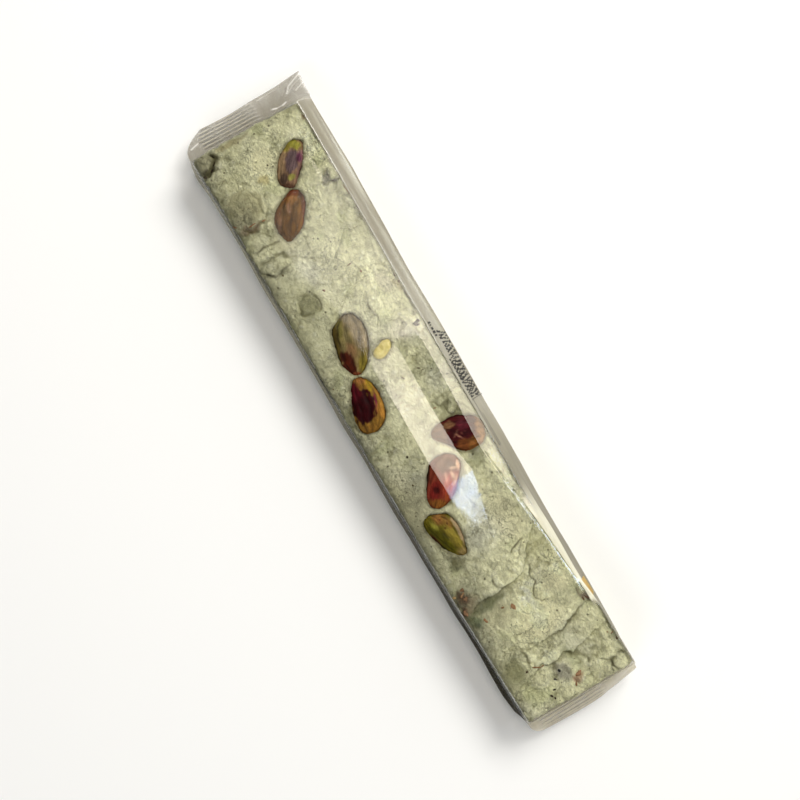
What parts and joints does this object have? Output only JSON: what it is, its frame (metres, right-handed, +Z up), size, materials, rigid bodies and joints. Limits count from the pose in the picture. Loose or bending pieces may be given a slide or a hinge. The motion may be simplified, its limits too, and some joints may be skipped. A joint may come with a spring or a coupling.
{
  "type": "nougat bar",
  "caption": "Long flat bar of pale green nougat set with whole pistachio kernels, sealed in clear flow-wrap film with a crimped fin at each end.",
  "frame": {"origin": "under the middle of the pack, on the surface that it lies on", "axes": "+X along the bar from its head to its foot, +Y across it towards the side where the film hangs loose, +Z up"},
  "size_m": [0.2141, 0.0432, 0.0156],
  "materials": {
    "nougat": "torn, porous sugar paste, satin",
    "pistachio": "ribbed papery skin, satin",
    "pale_nut": "smooth, satin",
    "clear_film": "clear glossy film",
    "print_ink": "printed ink"
  },
  "bodies": {
    "root": {"wrapped_slab": "nougat", "pistachio_1": "pistachio", "pistachio_2": "pistachio", "pistachio_3": "pistachio", "pistachio_4": "pistachio", "pistachio_5": "pistachio", "pistachio_6": "pistachio", "pistachio_7": "pistachio", "pale_nut_piece": "pale_nut"}
  },
  "joints": []
}
